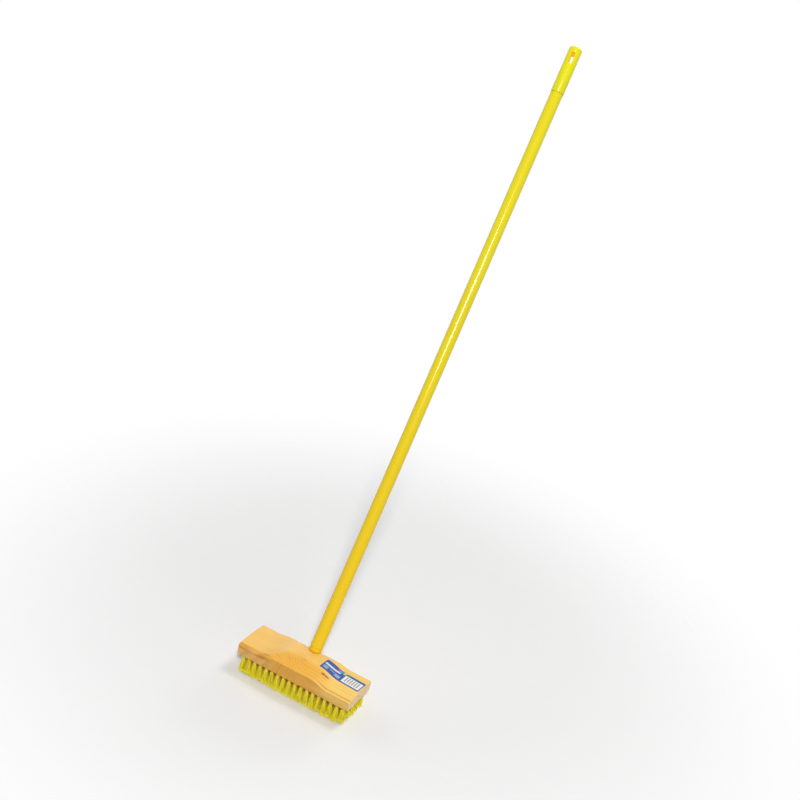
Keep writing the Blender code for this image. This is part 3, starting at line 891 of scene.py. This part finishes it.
def knotted(colour, place, above):
    """Two small dark knots with orange halos, and two faint marks, and how dark the knots are."""
    x, y = parts_of(place, 2)
    ragged = noise(place, (420.0, 520.0, 520.0)) * 0.9 - 0.45
    halo = spot(x, y, (0.050, -0.0138), (0.0135, 0.0042), ragged) * above
    knots = (spot(x, y, (0.0455, -0.0138), (0.0044, 0.0026), ragged)
             + spot(x, y, (0.0530, -0.0140), (0.0046, 0.0025), ragged) * 0.9) * above
    faint = (spot(x, y, (0.0017, -0.0063), (0.0060, 0.0032), ragged)
             + spot(x, y, (-0.0217, -0.0197), (0.0052, 0.0024), ragged)) * above
    colour = mixed(halo * 0.35, colour, (0.76, 0.36, 0.06))
    colour = mixed(faint * 0.60, colour, (0.74, 0.32, 0.05))
    return mixed(knots * 0.92, colour, (0.28, 0.092, 0.018)), knots


# %% Wood
def wood_material():
    """Pale pine, warmer in the middle, with rings, marks, knots, fibres, sawn ends, painted shade
    and a painted highlight.
    """
    made, start, shader = new_material("varnished pine")
    place = place_of(start)
    x, y, z = parts_of(place)
    late = ring_lines(place)
    broad = noise(place, (9.0, 30.0, 30.0), move=(3.1, 0, 0))
    fibre = noise(place, (26.0, 800.0, 800.0), 3.0, 0.6)
    fleck = noise(place, (60.0, 1500.0, 1500.0))
    above = between(z, 0.0125, 0.0165)

    # warm, strongly marked wood in the middle towards the front; paler wood elsewhere
    warm = spot(x, y, (-0.004, -0.027), (0.068, 0.029), broad * 0.5 - 0.25)
    colour = mixed(between(broad, 0.35, 0.68), (0.88, 0.558, 0.160), (0.85, 0.52, 0.130))
    colour = mixed(between(x, 0.025, 0.085) * 0.7, colour, (0.86, 0.605, 0.155))
    colour = mixed(warm * 0.9, colour, (0.82, 0.430, 0.048))
    colour = mixed(late * (0.16 + 0.14 * between(x, 0.0, 0.05) + 0.64 * warm), colour,
                   (0.74, 0.300, 0.026))

    # the front face is darkened as painted shade, and its rings are browner
    front = 1 - between(y, -WIDTH / 2 + 0.0004, -WIDTH / 2 + 0.0012)
    colour = mixed(front, colour, (0.815, 0.775, 0.73), "MULTIPLY")
    colour = mixed(late * front * 0.50, colour, (0.50, 0.235, 0.060))

    colour = shaped_edges(colour, place, late, fibre, broad, above)
    colour, knots = knotted(colour, place, above)
    colour = mixed(between(fibre, 0.35, 0.75) * 0.14, colour, (0.72, 0.36, 0.09))
    colour = mixed(between(fleck, 0.62, 0.78) * 0.16, colour, (0.60, 0.28, 0.07))

    # the sawn ends soak up varnish and show the rings as arcs
    at_end = between(x.maths("ABSOLUTE"), LENGTH / 2 - 0.0009, LENGTH / 2 - 0.0003)
    end_colour = mixed(late * 0.5, (0.80, 0.56, 0.29), (0.64, 0.41, 0.18))
    colour = mixed(at_end * 0.85, colour, end_colour)
    grain = late * 0.5 + fibre * 0.25 - knots * 0.8
    feed(shader, Base_Color=colour, Roughness=0.40 + 0.10 * fibre - 0.06 * late,
         Coat_Weight=0.30, Coat_Roughness=0.24, Specular_IOR_Level=0.2,
         Normal=bump(grain, 0.25, 0.0002))
    return made


stock_wood.data.materials.clear()
stock_wood.data.materials.append(wood_material())
print("wood: rings of %.0f mm" % (1000 * RING_WIDTH))

# %% [markdown]
# ## Bristle plastic
#
# The filaments are bright, slightly see-through plastic, fresh yellow at the tips. Deep between
# the tufts they are painted brown near the wood, as painted shade and as painted light bounced
# between them and off the stock; on the outer faces of the brush they stay yellow nearly up to
# it. Each filament carries a tone of its own, which keeps a tuft from looking like one lump.

# %% Bristle plastic
def bristle_material():
    """Painted brown shade near the wood, yellow further down, each filament in its own tone."""
    made, start, shader = new_material("bristle plastic")
    place = place_of(start)
    z = parts_of(place)[2]
    tone = start.node("ShaderNodeAttribute", {"attribute_name": "tone"}, output="Fac")
    outside = start.node("ShaderNodeAttribute", {"attribute_name": "outside"}, output="Fac")
    # the brown near the wood is painted shade, and it reaches less deep on the outer faces
    down = between(0.030 * outside - z, 0.010, 0.034)
    root = mixed(tone, (0.90, 0.42, 0.100), (1.0, 0.54, 0.130))
    tip = mixed(tone, (0.97, 0.80, 0.020), (1.0, 0.89, 0.040))
    fine = noise(place, (900.0, 900.0, 160.0))
    colour = mixed(down, root, tip)
    colour = mixed(between(fine, 0.45, 0.8) * 0.15, colour, (0.84, 0.66, 0.02))
    feed(shader, Base_Color=colour, Roughness=0.42 + 0.15 * fine, Specular_IOR_Level=0.25,
         Subsurface_Weight=0.30, Subsurface_Scale=0.002, Subsurface_Radius=(1.0, 0.9, 0.2))
    return made


bristle_plastic = bristle_material()
for piece in bristle_rows:
    piece.data.materials.append(bristle_plastic)
print("bristles: one material on", len(bristle_rows), "rows")

# %% [markdown]
# ## Coated tube, fitting and cap
#
# The tube's coat is golden low down and turns to lemon higher up. It is smooth but not perfect:
# faint waves along the steel and fine scuffs break up its gloss. The fitting and the cap are
# moulded in one colour each and are a little less shiny. The walls of the hanging slot are
# painted orange as painted shade, and glow a little in orange as painted light.

# %% Yellow plastics
def inside_slot(x, y, z):
    """1 on the walls of the hanging slot: within its width, its length and the cap's skin."""
    back, rise = y - SEAT[1], z - SEAT[2]
    up = back * UP_HANDLE[1] + rise * UP_HANDLE[2]
    behind = back * BEHIND[1] + rise * BEHIND[2]
    aside = x * math.cos(SLOT_TURN) + behind * math.sin(SLOT_TURN)
    near = 1 - between(aside.maths("ABSOLUTE"), SLOT_WIDTH / 2 + 0.0001,
                       SLOT_WIDTH / 2 + 0.0003)
    half = SLOT_LENGTH / 2 + 0.0002
    deep = 1 - between((x * x + behind * behind) ** 0.5, CAP_RADIUS - 0.0012, CAP_RADIUS - 0.0003)
    return near * window(up, slot_middle - half, slot_middle + half, 0.0001) * deep


def yellow_material(name, low, high, heights, roughness, wear, slot=False):
    """A glossy yellow that changes from one height to another, scuffed and wavy along the handle.

    With a slot, its walls get a painted orange shade and a painted orange glow.
    """
    made, start, shader = new_material(name)
    place = place_of(start)
    x, y, z = parts_of(place)
    along = start.node("ShaderNodeMapping", {}, {"Vector": place, "Rotation": (LEAN, 0, 0)})
    scuff = noise(along, (700.0, 700.0, 30.0), 3.0, 0.65)
    waves = noise(along, (60.0, 60.0, 14.0))
    cloud = noise(along, (9.0, 9.0, 5.0))
    colour = mixed(between(z, *heights), low, high)
    colour = mixed(between(cloud, 0.35, 0.7) * 0.12, colour, tuple(0.88 * c for c in low))
    colour = mixed(between(scuff, 0.58, 0.75) * wear, colour, tuple(0.6 * c for c in low))
    if slot:
        # the slot's walls: a painted orange shade, and a painted orange glow from the emission
        slot_shade_and_glow = inside_slot(x, y, z)
        colour = mixed(slot_shade_and_glow, colour, (0.86, 0.56, 0.010))
        roughness = 0.5 * slot_shade_and_glow + roughness
        feed(shader, Emission_Color=mixed(slot_shade_and_glow, (0.0, 0.0, 0.0), (1.0, 0.60, 0.03)),
             Emission_Strength=0.28)
    feed(shader, Base_Color=colour, Roughness=roughness + 0.05 * scuff, Specular_IOR_Level=0.3,
         Normal=bump(waves + scuff * 0.03, 0.05, 0.0005))
    return made


tube_coat.data.materials.append(yellow_material(
    "golden tube coat", (0.85, 0.56, 0.003), (0.80, 0.690, 0.002), (0.0, 0.80), 0.12, 0.08))
end_fitting.data.materials.append(yellow_material(
    "golden moulding", (0.86, 0.53, 0.003), (0.86, 0.55, 0.003), (0.0, 0.1), 0.26, 0.06))
cap_moulding.data.materials.clear()
cap_moulding.data.materials.append(yellow_material(
    "lemon moulding", (0.78, 0.71, 0.003), (0.79, 0.74, 0.004), (0.9, 1.05), 0.30, 0.06,
    slot=True))
print("three yellow finishes")

# %% [markdown]
# ## Sticker print
#
# The print has no words on it. It keeps the real one's layout in plain shapes: a blue field with
# a pale curved band and rows of small pale dashes, a few coloured strokes at the top, and a white
# panel with plain grey rules and a blue border. Each shape is a window in the flat layout.

# %% Sticker print
def sticker_material():
    """Windows in u, along the sticker, and v, across it, each painted over what is below."""
    made, start, shader = new_material("printed film")
    u, v = parts_of(start.node("ShaderNodeUVMap", {"uv_map": "layout"}), 2)
    blue, white, pale = (0.025, 0.082, 0.300), (0.82, 0.82, 0.79), (0.58, 0.65, 0.80)
    place = place_of(start)
    tint = noise(place, (300.0, 300.0, 300.0))
    colour = mixed(tint * 0.6, blue, (0.038, 0.112, 0.370))

    # the curved band, and two groups of pale upright strokes under it
    sag = u - 0.17
    band = window((v - 0.565 - 2.1 * sag * sag) / 0.080, -1.0, 1.0, 0.25)
    colour = mixed(band * window(u, 0.035, 0.415, 0.008) * 0.76, colour, white)
    groups = window(u, 0.05, 0.165, 0.006) + window(u, 0.345, 0.48, 0.006)
    strokes = window(stripes(u, 27.0), 0.15, 0.70, 0.12) * groups * window(v, 0.14, 0.40, 0.03)
    colour = mixed(strokes * 0.85, colour, pale)
    small = window(u, 0.20, 0.32, 0.006) * window(v, 0.30, 0.37, 0.02)
    colour = mixed(small * 0.5, colour, pale)

    # five leaning coloured strokes at the upper edge: first and last u, low and high v, colour
    lean = u - 0.06 * v
    for first, last, low, high, paint in (
            (0.268, 0.300, 0.80, 0.93, (0.72, 0.09, 0.03)),
            (0.305, 0.385, 0.70, 0.95, (0.07, 0.30, 0.68)),
            (0.268, 0.290, 0.52, 0.68, (0.80, 0.62, 0.04)),
            (0.408, 0.470, 0.76, 0.98, (0.84, 0.66, 0.03)),
            (0.455, 0.575, 0.74, 0.92, (0.05, 0.27, 0.08))):
        share = window(lean, first, last, 0.006) * window(v, low, high, 0.03)
        colour = mixed(share * 0.92, colour, paint)

    # the white panel with even grey rules
    panel = window(u, 0.535, 0.978, 0.004) * window(v, 0.10, 0.79, 0.012)
    colour = mixed(panel, colour, (0.75, 0.75, 0.72))
    rules = window(stripes(u, 17.0), 0.12, 0.55, 0.08) * window(u, 0.575, 0.94, 0.003)
    colour = mixed(rules * window(v, 0.22, 0.74, 0.012) * 0.86, colour, (0.19, 0.20, 0.21))
    wrinkle = noise(place, (90.0, 90.0, 90.0))
    feed(shader, Base_Color=colour, Roughness=0.30 + 0.12 * tint, Specular_IOR_Level=0.35,
         Normal=bump(wrinkle, 0.10, 0.0004))
    return made


sticker.data.materials.append(sticker_material())
print("sticker print: blue field and white panel")

# %% [markdown]
# ## Stage and light
#
# The brush stands on a plain white floor. A pale, even world fills the shadows. A broad lamp high
# up behind gives the top its light, and a smaller one in front draws the long soft highlight on
# the tube, because a round bar mirrors a lamp as a line. Two weak lamps, one on the left and one
# low down behind, keep those sides from going dull.

# %% Floor
def looked_at(start):
    """1 for rays from the camera, and for those that gloss or glass sends on; 0 for others."""
    camera_ray, gloss_ray, glass_ray = (start.node("ShaderNodeLightPath", output=f"Is {kind} Ray")
                                        for kind in ("Camera", "Glossy", "Transmission"))
    return camera_ray.maths("MAXIMUM", gloss_ray).maths("MAXIMUM", glass_ray)


def floor_material():
    """Pale paper, a hair brighter to bounced light, and see-through further out."""
    made, start, shader = new_material("white floor")
    place = place_of(start)
    x, y = parts_of(place, 2)
    grain = noise(place, (40.0, 40.0, 40.0))
    paper = mixed(grain, (0.795, 0.795, 0.795), (0.810, 0.810, 0.810))
    colour = mixed(looked_at(start), (0.82, 0.82, 0.81), paper)
    behind = y - 0.25
    away = (x * x + behind * behind) ** 0.5
    feed(shader, Base_Color=colour, Roughness=0.9, Specular_IOR_Level=0.1,
         Alpha=1 - between(away, 0.32, 0.95))
    return made


reach, floor_z = 3.0, -BRISTLE_LENGTH - 0.0001     # just below the longest filaments
floor_mesh = mesh_from("floor", np.array([(-reach, -reach, floor_z), (reach, -reach, floor_z),
                                          (reach, reach, floor_z), (-reach, reach, floor_z)]),
                       np.array([[0, 1, 2, 3]]))
floor_mesh.materials.append(floor_material())
floor = add_piece("floor", floor_mesh)
print("floor at %.1f mm" % (1000 * floor_z))

# %% Lamps and world
WORLD_LIGHT = 0.22         # how strongly the white world lights the brush


def lamp(name, place, target, width, height, watts):
    """A soft flat lamp that looks at its target, and that the camera doesn't see."""
    light = bpy.data.lights.new(name, "AREA")
    light.shape, light.size, light.size_y, light.energy = "RECTANGLE", width, height, watts
    made = bpy.data.objects.new(name, light)
    made.location = place
    made.visible_camera = False
    way = np.array(target) - np.array(place)
    made.rotation_euler = (math.acos(-way[2] / np.linalg.norm(way)), 0,
                           math.atan2(way[1], way[0]) - math.pi / 2)
    bpy.context.scene.collection.objects.link(made)
    return made


lamp("key", (1.8, 1.6, 5.5), (0, 0.2, 0.3), 1.8, 1.8, 92.0)
lamp("front", (1.484, -2.888, 3.194), (0, 0.3615, 0.624), 0.5, 0.75, 139.0)
side_lamp = lamp("side", (-1.6, 0.3, 1.25), (0, 0.45, 1.05), 1.2, 1.2, 8.0)
back_lamp = lamp("back", (0.6, 3.2, 0.55), (0, 0.3, 0.5), 2.0, 2.0, 48.0)
for fill in (side_lamp, back_lamp):
    fill.visible_glossy = False        # these two leave no highlight

world = bpy.data.worlds.new("studio")
world.use_nodes = True
seen = looked_at(Wire(world.node_tree))
feed(world.node_tree.nodes["Background"], Color=(1, 1, 1, 1),
     Strength=seen + (1 - seen) * WORLD_LIGHT)
bpy.context.scene.world = world
print("four lamps and an even world")
